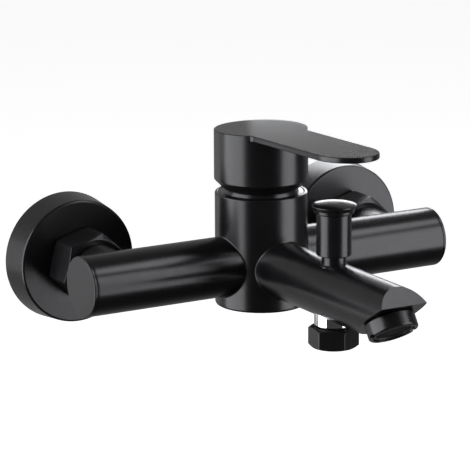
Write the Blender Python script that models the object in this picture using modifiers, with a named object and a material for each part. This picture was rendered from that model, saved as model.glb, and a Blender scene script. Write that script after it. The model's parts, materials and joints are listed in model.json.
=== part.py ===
"""Wall mounted bath and shower mixer in satin black, built as an assembly of separate pieces.

Sizes are in millimetres and turned into metres when a mesh is made.
X runs along the wall, +Y goes into the wall, +Z is up. The origin lies on the wall
surface, midway between the two water inlets and level with the mixer's cross arms.
"""

import math

import bmesh
import bpy
from mathutils import Matrix, Vector

MM = 0.001
GAP = 0.3  # clearance between pieces that touch

# Driving dimensions
INLET_SPACING = 150.0
BODY_Y = -59.3  # the vertical body's axis, in front of the wall
BODY_R = 22.0
BODY_TOP = 34.2
BODY_BOTTOM = -20.2
ARM_R = 14.3
ARM_END = 96.5  # outer face of an arm's end plug
PLUG_T = 1.5
LEG_R = 12.0
ESCUTCHEON_R = 31.0
ESCUTCHEON_FRONT_R = 29.3
ESCUTCHEON_DEPTH = 15.4
ECCENTRIC = 10.0  # how far an eccentric wall union sets its wall thread below the inlet
WALL_THREAD = 15.0

SPOUT_R = 13.4
SPOUT_Z = 0.0
SPOUT_TIP_Y = -183.0
SPOUT_TIP_Z = 6.0
FACET_TILT = math.radians(34.0)  # the lower facet at the spout's tip, which holds the aerator
UPPER_FACET_TILT = math.radians(48.0)
AERATOR_R = 11.6
AERATOR_REACH = 7.5
AERATOR_INSET = 14.9  # along the lower facet, from the tip edge to the aerator's axis
DIVERTER_Y = -124.3
CHAMBER_FLOOR = -6.4
HEX_BOTTOM = -26.3

HANDLE_R = 22.3
HANDLE_SKIRT = 40.6
HANDLE_LIP_R = 18.3
HANDLE_LIP = 36.4
HANDLE_TOP = 64.6
HANDLE_TILT = math.radians(1.7)  # the top and the lever rise slightly towards the lever's tip
LEVER_T = 2.7
LEVER_HALF_WIDTH = 14.75
LEVER_LENGTH = 92.0
LEVER_TIP_REACH = 18.2
SKIRT_RELIEF = math.radians(17.0)  # the skirt's rear is cut away so that the lever can lift
SCREW_Z = 52.0

CARTRIDGE_Z = 9.2  # the cartridge's own zero level; its other heights count from here
PIVOT_Z = 18.0  # the cartridge stem's pivot, which the lever lifts about
CARTRIDGE_R = 17.4
BORE_R = 17.8
BORE_FLOOR = 0.2
DOME_R = 19.3  # the dome is a ball about the pivot, so the tilting skirt clears it
STEM_AF = 8.0
STEM_TOP = 47.8
BALL_Z = 7.0
NUT_AF = 30.0
OUTLET_AF = 20.5

FINE = 40  # steps round the large turned pieces, then the middling and the small ones
ROUND = 28
SMALL = 16

X_AXIS = Vector((1, 0, 0))
Y_AXIS = Vector((0, 1, 0))
Z_AXIS = Vector((0, 0, 1))
BODY_AXIS = Vector((0, BODY_Y, 0))
CARTRIDGE_AXIS = Vector((0, BODY_Y, CARTRIDGE_Z))
DIVERTER_AXIS = Vector((0, DIVERTER_Y, 0))
FACET_NORMAL = Vector((0, -math.sin(FACET_TILT), -math.cos(FACET_TILT)))
SPOUT_TIP = Vector((0, SPOUT_TIP_Y, SPOUT_TIP_Z))
FACET_DOWN = Vector((0, math.cos(FACET_TILT), -math.sin(FACET_TILT)))
AERATOR_AT = SPOUT_TIP + FACET_DOWN * AERATOR_INSET


def clear_scene():
    for obj in list(bpy.data.objects):
        bpy.data.objects.remove(obj, do_unlink=True)


def new_collection(name, hidden=False):
    collection = bpy.data.collections.new(name)
    bpy.context.scene.collection.children.link(collection)
    collection.hide_render = hidden
    return collection


def material(name, color, roughness, metallic):
    made = bpy.data.materials.new(name)
    made.use_nodes = True
    shader = made.node_tree.nodes["Principled BSDF"]
    shader.inputs["Base Color"].default_value = (*color, 1)
    shader.inputs["Roughness"].default_value = roughness
    shader.inputs["Metallic"].default_value = metallic
    made.diffuse_color = (*color, 1)
    return made


clear_scene()
PARTS = new_collection("wall_bath_mixer")
CUTTERS = new_collection("cutters", hidden=True)
BLACK = material("satin_black", (0.025, 0.025, 0.027), 0.38, 0.6)
CHROME = material("chrome", (0.75, 0.75, 0.76), 0.08, 1.0)
BRASS = material("brass", (0.72, 0.52, 0.22), 0.3, 1.0)
STEEL = material("steel", (0.55, 0.55, 0.56), 0.3, 1.0)
RUBBER = material("rubber", (0.02, 0.02, 0.02), 0.8, 0.0)
CERAMIC = material("ceramic", (0.85, 0.83, 0.78), 0.2, 0.0)
PLASTIC = material("plastic", (0.75, 0.76, 0.74), 0.45, 0.0)
DARK_PLASTIC = material("dark_plastic", (0.035, 0.035, 0.038), 0.4, 0.0)


def aim(axis):
    """The rotation that turns a local Z axis onto the given direction, keeping X level."""
    z = Vector(axis).normalized()
    x = X_AXIS if abs(z.x) < 0.9 else Y_AXIS
    y = z.cross(x).normalized()
    x = y.cross(z).normalized()
    return Matrix((x, y, z)).transposed().to_4x4()


def place(name, mesh, at, axis, mat, parent):
    obj = bpy.data.objects.new(name, mesh)
    obj.matrix_world = Matrix.Translation(Vector(at) * MM) @ aim(axis)
    if mat is None:
        CUTTERS.objects.link(obj)
        obj.hide_render = True
        obj.display_type = "WIRE"
    else:
        PARTS.objects.link(obj)
        mesh.materials.append(mat)
    if parent is not None:
        obj.parent = parent
        obj.matrix_parent_inverse = parent.matrix_world.inverted()
    return obj


def turned(name, profile, at=(0, 0, 0), axis=(0, 0, 1), mat=None, parent=None, steps=ROUND):
    """A turned piece. The profile's (radius, height) points run down the outer side;
    one that starts and ends on the axis is open, any other closes on itself."""
    solid = abs(profile[0][0]) < 1e-6 and abs(profile[-1][0]) < 1e-6
    mesh = bpy.data.meshes.new(name)
    points = [(radius * MM, 0, height * MM) for radius, height in profile]
    edges = [(i, i + 1) for i in range(len(points) - 1)]
    if not solid:
        edges.append((len(points) - 1, 0))
    mesh.from_pydata(points, edges, [])
    obj = place(name, mesh, at, axis, mat, parent)
    screw = obj.modifiers.new("turn", "SCREW")
    screw.angle = math.tau
    screw.steps = steps
    screw.render_steps = steps
    screw.use_merge_vertices = True
    screw.merge_threshold = 0.00002
    screw.use_smooth_shade = True
    return obj


def disc(name, radius, low, high, **options):
    return turned(name, [(0, high), (radius, high), (radius, low), (0, low)], **options)


def ring(name, outer, inner, low, high, **options):
    profile = [(outer, high), (outer, low), (inner, low), (inner, high)]
    return turned(name, profile, **options)


def prism(name, sides, across_flats, low, high, at=(0, 0, 0), axis=(0, 0, 1), mat=None,
          parent=None, twist=0.0, chamfer=0.0):
    """A bar with flat sides, its corners chamfered at both ends."""
    mesh = bpy.data.meshes.new(name)
    shape = bmesh.new()
    radius = across_flats / 2 / math.cos(math.pi / sides)
    bmesh.ops.create_cone(shape, cap_ends=True, segments=sides, radius1=radius * MM,
                          radius2=radius * MM, depth=(high - low) * MM)
    bmesh.ops.rotate(shape, verts=shape.verts, cent=(0, 0, 0), matrix=Matrix.Rotation(twist, 3, "Z"))
    bmesh.ops.translate(shape, verts=shape.verts, vec=(0, 0, (high + low) / 2 * MM))
    shape.to_mesh(mesh)
    shape.free()
    obj = place(name, mesh, at, axis, mat, parent)
    if chamfer:
        corner = radius + 0.02
        bevel = [(0, high + 1), (corner - chamfer - 0.3, high + 1), (corner - chamfer, high),
                 (corner, high - chamfer * 0.58), (corner, low + chamfer * 0.58),
                 (corner - chamfer, low), (corner - chamfer - 0.3, low - 1), (0, low - 1)]
        meet(obj, turned(name + "_corners", bevel, at=at, axis=axis))
    return obj


def box(name, size, at, axis=(0, 0, 1), mat=None, parent=None):
    mesh = bpy.data.meshes.new(name)
    shape = bmesh.new()
    bmesh.ops.create_cube(shape, size=MM)
    bmesh.ops.scale(shape, verts=shape.verts, vec=size)
    shape.to_mesh(mesh)
    shape.free()
    return place(name, mesh, at, axis, mat, parent)


def rod_between(name, radius, start, end, steps=SMALL):
    """A cutter along a straight line between two points."""
    start = Vector(start)
    end = Vector(end)
    return disc(name, radius, 0, (end - start).length, at=start, axis=end - start, steps=steps)


def boolean(obj, other, operation):
    modifier = obj.modifiers.new(other.name, "BOOLEAN")
    modifier.object = other
    modifier.operation = operation
    # Crossing waterways leave open edges with EXACT.
    crossing = obj.name == "body_casting" or obj.name.startswith("s_union")
    modifier.solver = "MANIFOLD" if crossing else "EXACT"


def cut(obj, *others):
    for other in others:
        boolean(obj, other, "DIFFERENCE")


def join(obj, *others):
    for other in others:
        boolean(obj, other, "UNION")


def meet(obj, other):
    boolean(obj, other, "INTERSECT")


def flat_outline(name, points, thickness, at, parent=None):
    """A flat plate of the given outline, made a mesh so that it can join another piece."""
    curve = bpy.data.curves.new(name, "CURVE")
    curve.dimensions = "2D"
    curve.fill_mode = "BOTH"
    curve.extrude = thickness / 2 * MM
    spline = curve.splines.new("POLY")
    spline.points.add(len(points) - 1)
    for point, (x, y) in zip(spline.points, points):
        point.co = (x * MM, y * MM, 0, 1)
    spline.use_cyclic_u = True
    outline = bpy.data.objects.new(name + "_curve", curve)
    bpy.context.scene.collection.objects.link(outline)
    bpy.context.view_layer.update()
    graph = bpy.context.evaluated_depsgraph_get()
    mesh = bpy.data.meshes.new_from_object(outline.evaluated_get(graph))
    bpy.data.objects.remove(outline, do_unlink=True)
    shape = bmesh.new()
    shape.from_mesh(mesh)
    bmesh.ops.remove_doubles(shape, verts=shape.verts, dist=0.00001)
    bmesh.ops.recalc_face_normals(shape, faces=shape.faces)
    shape.to_mesh(mesh)
    shape.free()
    return place(name, mesh, at, Z_AXIS, None, parent)


def o_ring(name, radius, section, at, axis=(0, 0, 1), parent=None, sides=6, steps=20):
    profile = [(radius + section * math.cos(a), -section * math.sin(a))
               for a in (math.tau * i / sides for i in range(sides))]
    return turned(name, profile, at=at, axis=axis, mat=RUBBER, parent=parent, steps=steps)


def empty(name, at):
    joint = bpy.data.objects.new(name, None)
    joint.location = Vector(at) * MM
    joint.empty_display_size = 0.01
    PARTS.objects.link(joint)
    bpy.context.view_layer.update()
    return joint


def body_casting():
    """The brass casting: upright housing, cross arms, rear legs and spout, with its waterways."""
    half = INLET_SPACING / 2
    body = turned("body_casting", [
        (0, BODY_TOP), (BODY_R - 0.8, BODY_TOP), (BODY_R, BODY_TOP - 0.8),
        (BODY_R, BODY_BOTTOM + 1.0), (BODY_R - 1.0, BODY_BOTTOM), (0, BODY_BOTTOM),
    ], at=BODY_AXIS, mat=BLACK, steps=FINE)
    arm_length = ARM_END - PLUG_T - GAP
    arms = disc("arms", ARM_R, -arm_length, arm_length, at=BODY_AXIS, axis=X_AXIS, steps=ROUND)
    join(body, arms)
    for side, x in (("left", -half), ("right", half)):
        join(body, disc(f"leg_{side}", LEG_R, 0, 24.5, at=(x, BODY_Y, 0), axis=Y_AXIS, steps=24))
    spout = disc("spout_bar", SPOUT_R, 0, BODY_Y - SPOUT_TIP_Y + 2, at=(0, BODY_Y, SPOUT_Z),
                 axis=-Y_AXIS, steps=ROUND)
    up_normal = Vector((0, -math.sin(UPPER_FACET_TILT), math.cos(UPPER_FACET_TILT)))
    cut(spout, box("lower_facet", (60, 60, 60), SPOUT_TIP + FACET_NORMAL * 30, axis=FACET_NORMAL),
        box("upper_facet", (60, 60, 60), SPOUT_TIP + up_normal * 30, axis=up_normal))
    join(body, spout)

    bore = turned("cartridge_bore", [
        (0, BODY_TOP + 5), (20.6, BODY_TOP + 5), (20.6, 30.8), (20.0, 30.8), (20.0, 21.7),
        (BORE_R, 21.7), (BORE_R, BORE_FLOOR), (0, BORE_FLOOR),
    ], at=BODY_AXIS, steps=FINE)
    cut(body, bore)
    for side, sign in (("left", -1), ("right", 1)):
        x = sign * half
        arm_bore = disc(f"arm_bore_{side}", 8.5, 25, ARM_END + 5, at=BODY_AXIS, axis=X_AXIS * sign,
                        steps=SMALL)
        plug_seat = disc(f"plug_seat_{side}", 10.6, 84, ARM_END + 5, at=BODY_AXIS, axis=X_AXIS * sign,
                         steps=24)
        leg_bore = disc(f"leg_bore_{side}", 8.2, 9, 30, at=(x, BODY_Y, 0), axis=Y_AXIS, steps=SMALL)
        port = (sign * 7.5, BODY_Y + 4.5)
        channel = rod_between(f"channel_{side}", 2.9, (sign * 30, BODY_Y, -2),
                              (port[0] - sign * 2, port[1] + 0.4, -14.6), steps=12)
        riser = rod_between(f"riser_{side}", 2.8, (*port, -14.0), (*port, BORE_FLOOR + 2), steps=12)
        cut(body, arm_bore, plug_seat, leg_bore, channel, riser)

    mixed = (0, BODY_Y - 8.0)
    cut(body, rod_between("mixed_riser", 2.8, (*mixed, -14.5), (*mixed, BORE_FLOOR + 2), steps=12),
        rod_between("mixed_channel", 3.0, (0, BODY_Y - 6.5, -14.8), (0, BODY_Y - 36, -4.5), steps=12))
    cut(body,
        rod_between("spout_bore", 6.2, (0, BODY_Y - 27, SPOUT_Z), (0, DIVERTER_Y - 3, SPOUT_Z)),
        rod_between("spout_passage", 2.6, (0, DIVERTER_Y - 5, 6.2), (0, DIVERTER_Y - 18, 1.8), steps=12),
        rod_between("tip_bore", 6.2, (0, DIVERTER_Y - 13, SPOUT_Z), (0, -157, SPOUT_Z)),
        rod_between("tip_slant", 5.0, (0, -154, 0), (0, -163, 1.5), steps=12))
    cut(body,
        rod_between("diverter_chamber", 7.0, (0, DIVERTER_Y, CHAMBER_FLOOR), (0, DIVERTER_Y, 20)),
        rod_between("seat_hole", 4.8, (0, DIVERTER_Y, -20), (0, DIVERTER_Y, -5), steps=12),
        rod_between("outlet_hole", 7.4, (0, DIVERTER_Y, -25), (0, DIVERTER_Y, -7.6)),
        rod_between("collar_seat", 9.3, (0, DIVERTER_Y, -25), (0, DIVERTER_Y, -9.3)))
    cut(body,
        rod_between("aerator_seat", 9.6, AERATOR_AT - FACET_NORMAL * 6.5, AERATOR_AT + FACET_NORMAL * 10),
        rod_between("aerator_feed", 6.5, AERATOR_AT - FACET_NORMAL * 9, AERATOR_AT))


def arm_plugs():
    for side, sign in (("left", -1), ("right", 1)):
        turned(f"arm_plug_{side}", [
            (0, ARM_END), (ARM_R - 0.6, ARM_END), (ARM_R, ARM_END - 0.6), (ARM_R, ARM_END - PLUG_T),
            (10.3, ARM_END - PLUG_T), (10.3, ARM_END - 9), (7.5, ARM_END - 9),
            (7.5, ARM_END - 3.5), (0, ARM_END - 3.5),
        ], at=BODY_AXIS, axis=X_AXIS * sign, mat=BLACK, steps=ROUND)


def inlets():
    """Each inlet: nipple, captive union nut, gasket, eccentric wall union and escutcheon."""
    for side, sign in (("left", -1), ("right", 1)):
        at = (sign * INLET_SPACING / 2, 0, 0)
        turned(f"inlet_nipple_{side}", [
            (12.4, -28.5), (12.4, -31.0), (10.0, -31.0), (10.0, -34.5), (7.9, -34.5),
            (7.9, -44.5), (6.0, -44.5), (6.0, -28.5),
        ], at=at, axis=Y_AXIS, mat=BRASS, steps=24)
        nut = prism(f"union_nut_{side}", 6, NUT_AF, -34.2, -16.0, at=at, axis=Y_AXIS, mat=BLACK,
                    twist=math.radians(14), chamfer=1.8)
        cut(nut, turned(f"nut_bore_{side}", [
            (0, -10), (12.9, -10), (12.9, -31.4), (10.4, -31.4), (10.4, -40), (0, -40),
        ], at=at, axis=Y_AXIS, steps=24))
        ring(f"union_gasket_{side}", 12.3, 7.5, -28.2, -26.4, at=at, axis=Y_AXIS, mat=RUBBER, steps=24)
        low = (sign * INLET_SPACING / 2, 0, -ECCENTRIC)
        union = disc(f"s_union_{side}", 12.6, -26.1, -7, at=at, axis=Y_AXIS, mat=BRASS, steps=24)
        join(union, disc(f"union_offset_{side}", 12.0, -13.4, -1, at=low, axis=Y_AXIS, steps=24),
             disc(f"union_thread_{side}", 10.4, -2, WALL_THREAD, at=low, axis=Y_AXIS, steps=24))
        cut(union, disc(f"union_bore_a_{side}", 8.5, -30, -9, at=at, axis=Y_AXIS, steps=SMALL),
            disc(f"union_bore_b_{side}", 7.5, -11.5, WALL_THREAD + 2, at=low, axis=Y_AXIS, steps=SMALL))
        turned(f"escutcheon_{side}", [
            (ESCUTCHEON_R, 0), (ESCUTCHEON_FRONT_R + 0.25, -ESCUTCHEON_DEPTH + 1.6),
            (ESCUTCHEON_FRONT_R - 1.2, -ESCUTCHEON_DEPTH), (12.9, -ESCUTCHEON_DEPTH),
            (12.9, -ESCUTCHEON_DEPTH + 1.4), (ESCUTCHEON_FRONT_R - 2.2, -ESCUTCHEON_DEPTH + 1.4),
            (ESCUTCHEON_R - 1.4, 0),
        ], at=at, axis=Y_AXIS, mat=BLACK, steps=FINE)


def arc(radius, centre, start, end, count):
    """Points of a circle about (0, centre), between two angles measured from the axis."""
    angles = (start + (end - start) * i / (count - 1) for i in range(count))
    return [(radius * math.sin(a), centre + radius * math.cos(a)) for a in angles]


def cartridge(turn, lift):
    """The 35 mm ceramic cartridge, its clamping nut and the dome that covers them."""
    axis = CARTRIDGE_AXIS
    base = turned("cartridge_base", [
        (0, -1.6), (14.0, -1.6), (14.0, -5.0), (17.3, -5.0), (17.3, -8.7), (0, -8.7),
    ], at=axis, mat=PLASTIC)
    plate = disc("fixed_disc", 14.1, -1.3, 1.0, at=axis, mat=CERAMIC)
    for name, x, y in (("hot", -7.5, 4.5), ("cold", 7.5, 4.5), ("mixed", 0, -8.0)):
        at = axis + Vector((x, y, 0))
        cut(base, disc(f"base_port_{name}", 2.6, -12, 2, at=at, steps=12),
            disc(f"seal_seat_{name}", 4.5, -12, -7.2, at=at, steps=12))
        cut(plate, disc(f"disc_port_{name}", 2.6, -4, 4, at=at, steps=12))
        ring(f"base_seal_{name}", 4.2, 2.9, -8.7, -7.5, at=at, mat=RUBBER, steps=SMALL)
    turned("cartridge_housing", [
        (12.0, 20.5), (12.0, 14.2), (CARTRIDGE_R, 14.2), (CARTRIDGE_R, -4.7), (14.4, -4.7),
        (14.4, 12.0), (9.4, 12.0), (9.4, 20.5),
    ], at=axis, mat=PLASTIC)
    nut = ring("cartridge_nut", 19.7, 12.4, 14.5, 21.2, at=axis, mat=BRASS)
    cut(nut, box("nut_slot", (60, 5, 5), axis + Vector((0, 0, 22.2))))
    outer_edge = math.asin(17.98 / DOME_R)
    inner_edge = math.asin(16.9 / (DOME_R - 1.4))
    turned("bonnet_dome", [
        *arc(DOME_R, PIVOT_Z, math.asin(11.5 / DOME_R), outer_edge, 5), (20.2, 24.8), (20.2, 21.9),
        (19.4, 21.9), (19.4, 23.4), (16.9, 23.4),
        *arc(DOME_R - 1.4, PIVOT_Z, inner_edge, math.asin(11.5 / (DOME_R - 1.4)), 4)[1:],
    ], at=axis, mat=BLACK, steps=FINE)

    carrier = disc("disc_carrier", 9.8, 3.8, 8.8, at=axis, mat=PLASTIC, parent=turn, steps=24)
    cut(carrier, disc("ball_socket", 2.8, 4.4, 12, at=axis, steps=12))
    moving = disc("moving_disc", 9.9, 1.3, 3.5, at=axis, mat=CERAMIC, parent=turn, steps=24)
    cut(moving, disc("mixing_pocket", 5.5, 0, 2.4, at=axis + Vector((0, -2.5, 0)), steps=12))
    driver = turned("cartridge_driver", [
        (0, 21.5), (9.1, 21.5), (9.1, 11.7), (14.0, 11.7), (14.0, 9.1), (0, 9.1),
    ], at=axis, mat=PLASTIC, parent=turn)
    pivot = axis + Vector((0, 0, PIVOT_Z))
    cut(driver, box("driver_slot", (8.8, 12.6, 40), pivot),
        disc("driver_pin_hole", 1.5, -20, 20, at=pivot, axis=X_AXIS, steps=12))
    disc("pivot_pin", 1.2, -8.6, 8.6, at=pivot, axis=X_AXIS, mat=STEEL, parent=turn, steps=12)

    stem = box("cartridge_stem", (STEM_AF, STEM_AF, STEM_TOP - 13),
               axis + Vector((0, 0, (STEM_TOP + 13) / 2)), mat=BRASS, parent=lift)
    ball = [(0, 14.0), (1.6, 14.0)] + arc(2.5, BALL_Z, math.asin(1.6 / 2.5), math.pi, 8)
    join(stem, turned("stem_ball", ball, at=axis, steps=12))
    cut(stem, disc("stem_pin_hole", 1.5, -10, 10, at=pivot, axis=X_AXIS, steps=12))


def lever_outline():
    """Straight sides and a half-elliptic tip, seen from above; the lever points to -Y."""
    straight = LEVER_LENGTH - LEVER_TIP_REACH
    tip = [(LEVER_HALF_WIDTH * math.cos(a), -straight - LEVER_TIP_REACH * math.sin(a))
           for a in (math.pi * i / 20 for i in range(21))]
    return [(LEVER_HALF_WIDTH, 0), *tip, (-LEVER_HALF_WIDTH, 0)]


def handle(lift):
    """The hollow cap with its flat lever, and what fastens it to the stem."""
    axis = BODY_AXIS
    cap = turned("handle", [
        (0, HANDLE_TOP + 4), (HANDLE_R, HANDLE_TOP + 4), (HANDLE_R, HANDLE_SKIRT),
        (HANDLE_LIP_R, HANDLE_LIP), (HANDLE_LIP_R - 0.6, HANDLE_LIP), (HANDLE_LIP_R - 0.6, 37.8),
        (19.4, 39.8), (19.4, HANDLE_TOP - 4.5), (0, HANDLE_TOP - 4.5),
    ], at=axis, mat=BLACK, parent=lift, steps=FINE)
    join(cap, disc("handle_boss", 8.2, 45.2, HANDLE_TOP - 3, at=axis, steps=24))
    tilt = Matrix.Rotation(-HANDLE_TILT, 4, "X")
    lever = flat_outline("lever_plate", lever_outline(), LEVER_T + 3, axis)
    lever.matrix_world = (Matrix.Translation((axis + Vector((0, 0, HANDLE_TOP - LEVER_T / 2 + 1.5))) * MM)
                          @ tilt)
    above = box("handle_top_cut", (80, 260, 30), axis)
    above.matrix_world = (Matrix.Translation((axis + Vector((0, 0, HANDLE_TOP))) * MM) @ tilt
                          @ Matrix.Translation((0, 0, 15 * MM)))
    join(cap, lever)
    cut(cap, above, box("stem_socket", (STEM_AF + 0.6, STEM_AF + 0.6, 30),
                        CARTRIDGE_AXIS + Vector((0, 0, STEM_TOP + 0.4 - 15))))
    relief = box("skirt_relief", (80, 60, 30), axis)
    relief.matrix_world = (Matrix.Translation((axis + Vector((0, 5.5, HANDLE_LIP))) * MM)
                           @ Matrix.Rotation(SKIRT_RELIEF, 4, "X")
                           @ Matrix.Translation((0, 29 * MM, -15 * MM)))
    screw_at = axis + Vector((0, 0, SCREW_Z))
    cut(cap, relief, disc("screw_hole", 2.6, 0, 30, at=screw_at, axis=Y_AXIS, steps=20),
        disc("plug_hole", 3.2, 15, 30, at=screw_at, axis=Y_AXIS, steps=20))
    screw = turned("handle_screw", [
        (0, 11.2), (2.2, 11.2), (2.2, 5.2), (1.4, 4.5), (0, 4.5),
    ], at=screw_at, axis=Y_AXIS, mat=STEEL, parent=lift, steps=20)
    cut(screw, prism("hex_socket", 6, 2.5, 9, 12, at=screw_at, axis=Y_AXIS))
    turned("index_plug", [
        (0, 22.1), (2.3, 22.1), (2.8, 21.6), (2.8, 19.8), (1.9, 19.8), (1.9, 20.8), (0, 20.8),
    ], at=screw_at, axis=Y_AXIS, mat=BLACK, parent=lift, steps=20)


def spring(name, radius, wire, low, high, turns, at, parent):
    """A closed helix of round wire."""
    steps = int(turns * 12)
    curve = bpy.data.curves.new(name, "CURVE")
    curve.dimensions = "3D"
    curve.bevel_depth = wire * MM
    curve.bevel_resolution = 1
    curve.use_fill_caps = True
    spline = curve.splines.new("POLY")
    spline.points.add(steps)
    for i, point in enumerate(spline.points):
        angle = math.tau * turns * i / steps
        height = low + wire + (high - low - 2 * wire) * i / steps
        point.co = (radius * math.cos(angle) * MM, radius * math.sin(angle) * MM, height * MM, 1)
    obj = bpy.data.objects.new(name, curve)
    obj.location = Vector(at) * MM
    curve.materials.append(STEEL)
    PARTS.objects.link(obj)
    obj.parent = parent
    obj.matrix_parent_inverse = parent.matrix_world.inverted()


def diverter(pull):
    """The pull knob on the spout, and the spring-returned valve that it lifts."""
    at = DIVERTER_AXIS
    turned("diverter_gland", [
        (5.7, 28.0), (5.7, 12.6), (6.7, 12.2), (6.7, 7.6), (3.0, 7.6), (3.0, 26.0), (4.2, 26.0),
        (4.2, 28.0),
    ], at=at, mat=BLACK, steps=24)
    o_ring("gland_o_ring", 3.45, 0.55, at + Vector((0, 0, 26.9)))
    turned("diverter_knob", [
        (0, 41.7), (3.5, 41.6), (6.5, 41.35), (8.8, 40.95), (10.2, 40.5), (10.5, 40.1), (10.3, 39.6),
        (9.4, 38.1), (9.3, 36.8), (2.8, 36.8), (2.8, 39.3), (0, 39.3),
    ], at=at, mat=BLACK, parent=pull, steps=ROUND)
    turned("diverter_sleeve", [
        (8.1, 36.5), (8.1, 17.9), (7.1, 16.6), (6.1, 16.6), (6.1, 34.0), (2.8, 34.0), (2.8, 36.5),
    ], at=at, mat=BLACK, parent=pull, steps=ROUND)
    disc("diverter_rod", 2.5, -8.6, 39.0, at=at, mat=STEEL, parent=pull, steps=20)
    ring("valve_head", 6.3, 2.8, -4.3, -2.2, at=at, mat=BRASS, parent=pull, steps=24)
    ring("valve_seal", 6.4, 2.8, -6.1, -4.6, at=at, mat=RUBBER, parent=pull, steps=24)
    nut = prism("valve_nut", 6, 7.0, -8.6, -6.4, at=at, mat=BRASS, parent=pull)
    cut(nut, disc("valve_nut_bore", 2.8, -10, -5, at=at, steps=SMALL))
    spring("diverter_spring", 4.3, 0.4, -1.9, 7.3, 4.0, at, pull)


def shower_outlet():
    at = DIVERTER_AXIS
    ring("outlet_collar", 9.0, 7.4, -16.3, -9.6, at=at, mat=CHROME, steps=24)
    fitting = prism("shower_outlet", 6, OUTLET_AF, HEX_BOTTOM, -16.6, at=at, mat=BLACK,
                    twist=math.radians(-6.5), chamfer=1.3)
    join(fitting, disc("outlet_neck", 7.1, -20, -8.0, at=at, steps=24))
    cut(fitting, turned("outlet_bore", [
        (0, 0), (5.2, 0), (5.2, -17.4), (7.6, -17.4), (7.6, HEX_BOTTOM - 2), (0, HEX_BOTTOM - 2),
    ], at=at, steps=24))
    valve = disc("check_valve", 4.9, -16.8, -8.8, at=at, mat=PLASTIC, steps=SMALL)
    cut(valve, disc("check_bore", 3.4, -18, -12.5, at=at, steps=12))


def aerator():
    """The threaded collar, its insert and its seal, square to the spout's lower facet."""
    options = {"at": AERATOR_AT, "axis": FACET_NORMAL}
    collar = turned("aerator_housing", [
        (10.9, AERATOR_REACH), (AERATOR_R, AERATOR_REACH - 0.7), (AERATOR_R, 0.7), (AERATOR_R - 0.4, GAP),
        (9.3, GAP), (9.3, -5.0), (7.4, -5.0), (7.4, 1.2), (9.5, 1.2), (9.5, AERATOR_REACH),
    ], mat=BLACK, steps=ROUND, **options)
    cut(collar, box("key_slot", (40, 3.0, 2), AERATOR_AT + FACET_NORMAL * (AERATOR_REACH - 0.3),
                    axis=FACET_NORMAL))
    turned("aerator_insert", [
        (0, 6.2), (8.2, 6.2), (8.2, 6.8), (9.2, 6.8), (9.2, 1.5), (8.0, 1.5), (8.0, 4.4), (0, 4.4),
    ], mat=DARK_PLASTIC, steps=24, **options)
    ring("aerator_gasket", 9.2, 7.6, -6.2, -5.3, mat=RUBBER, steps=24, **options)


def main():
    lift_pivot = empty("lift_pivot", CARTRIDGE_AXIS + Vector((0, 0, PIVOT_Z)))
    turn_axis = empty("turn_axis", BODY_AXIS)
    pull_axis = empty("pull_axis", DIVERTER_AXIS)
    body_casting()
    arm_plugs()
    inlets()
    cartridge(turn_axis, lift_pivot)
    handle(lift_pivot)
    diverter(pull_axis)
    shower_outlet()
    aerator()


main()
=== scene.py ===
"""Looks of the wall mounted bath and shower mixer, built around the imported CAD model.

Lengths of the pieces are in millimetres until a mesh is made; lights, floor and camera are placed in
metres. X runs along the wall, +Y into it, +Z up. The spout and the lever point to -Y.
"""

import json
import math

import bmesh
import bpy
from mathutils import Matrix, Vector
from mathutils.geometry import delaunay_2d_cdt


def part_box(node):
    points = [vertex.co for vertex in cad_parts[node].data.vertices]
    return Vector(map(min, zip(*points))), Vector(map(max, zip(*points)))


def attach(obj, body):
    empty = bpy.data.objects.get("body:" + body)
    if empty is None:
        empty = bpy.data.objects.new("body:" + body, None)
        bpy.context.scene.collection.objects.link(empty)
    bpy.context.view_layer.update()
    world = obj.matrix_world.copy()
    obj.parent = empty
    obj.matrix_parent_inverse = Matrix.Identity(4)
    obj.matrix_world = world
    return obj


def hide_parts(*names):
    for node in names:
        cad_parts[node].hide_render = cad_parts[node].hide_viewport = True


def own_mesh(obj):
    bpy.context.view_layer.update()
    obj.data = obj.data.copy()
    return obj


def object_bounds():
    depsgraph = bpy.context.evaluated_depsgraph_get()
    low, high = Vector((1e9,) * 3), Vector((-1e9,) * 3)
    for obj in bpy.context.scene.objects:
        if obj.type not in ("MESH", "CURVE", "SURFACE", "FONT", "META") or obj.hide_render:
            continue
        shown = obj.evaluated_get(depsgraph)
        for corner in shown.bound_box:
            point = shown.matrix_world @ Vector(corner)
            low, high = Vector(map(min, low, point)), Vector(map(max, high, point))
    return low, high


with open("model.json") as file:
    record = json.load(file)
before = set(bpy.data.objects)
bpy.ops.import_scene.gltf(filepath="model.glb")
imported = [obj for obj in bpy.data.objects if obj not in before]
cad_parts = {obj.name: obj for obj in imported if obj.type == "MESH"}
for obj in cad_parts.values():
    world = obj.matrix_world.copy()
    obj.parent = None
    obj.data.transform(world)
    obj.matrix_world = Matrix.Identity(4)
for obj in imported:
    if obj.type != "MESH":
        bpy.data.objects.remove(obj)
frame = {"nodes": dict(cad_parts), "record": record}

CAD_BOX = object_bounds()

MM = 0.001
WELD = 2e-6  # metres: points closer than this are one
X = Vector((1, 0, 0))
Y = Vector((0, 1, 0))
Z = Vector((0, 0, 1))


def low(node):
    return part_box(node)[0] / MM


def high(node):
    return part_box(node)[1] / MM


def middle(node):
    return (low(node) + high(node)) / 2


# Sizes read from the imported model
BODY_Y = middle("bonnet_dome").y
ARM_END = high("arm_plug_right").x
ARM_R = high("arm_plug_right").z
INLET_X = middle("union_nut_right").x
COVER_R = high("escutcheon_right").z
COVER_DEPTH = -low("escutcheon_right").y
DIVERTER_Y = middle("diverter_gland").y
SPOUT_TIP_Y = low("body_casting").y
HEX_LOW = low("shower_outlet").z

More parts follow.
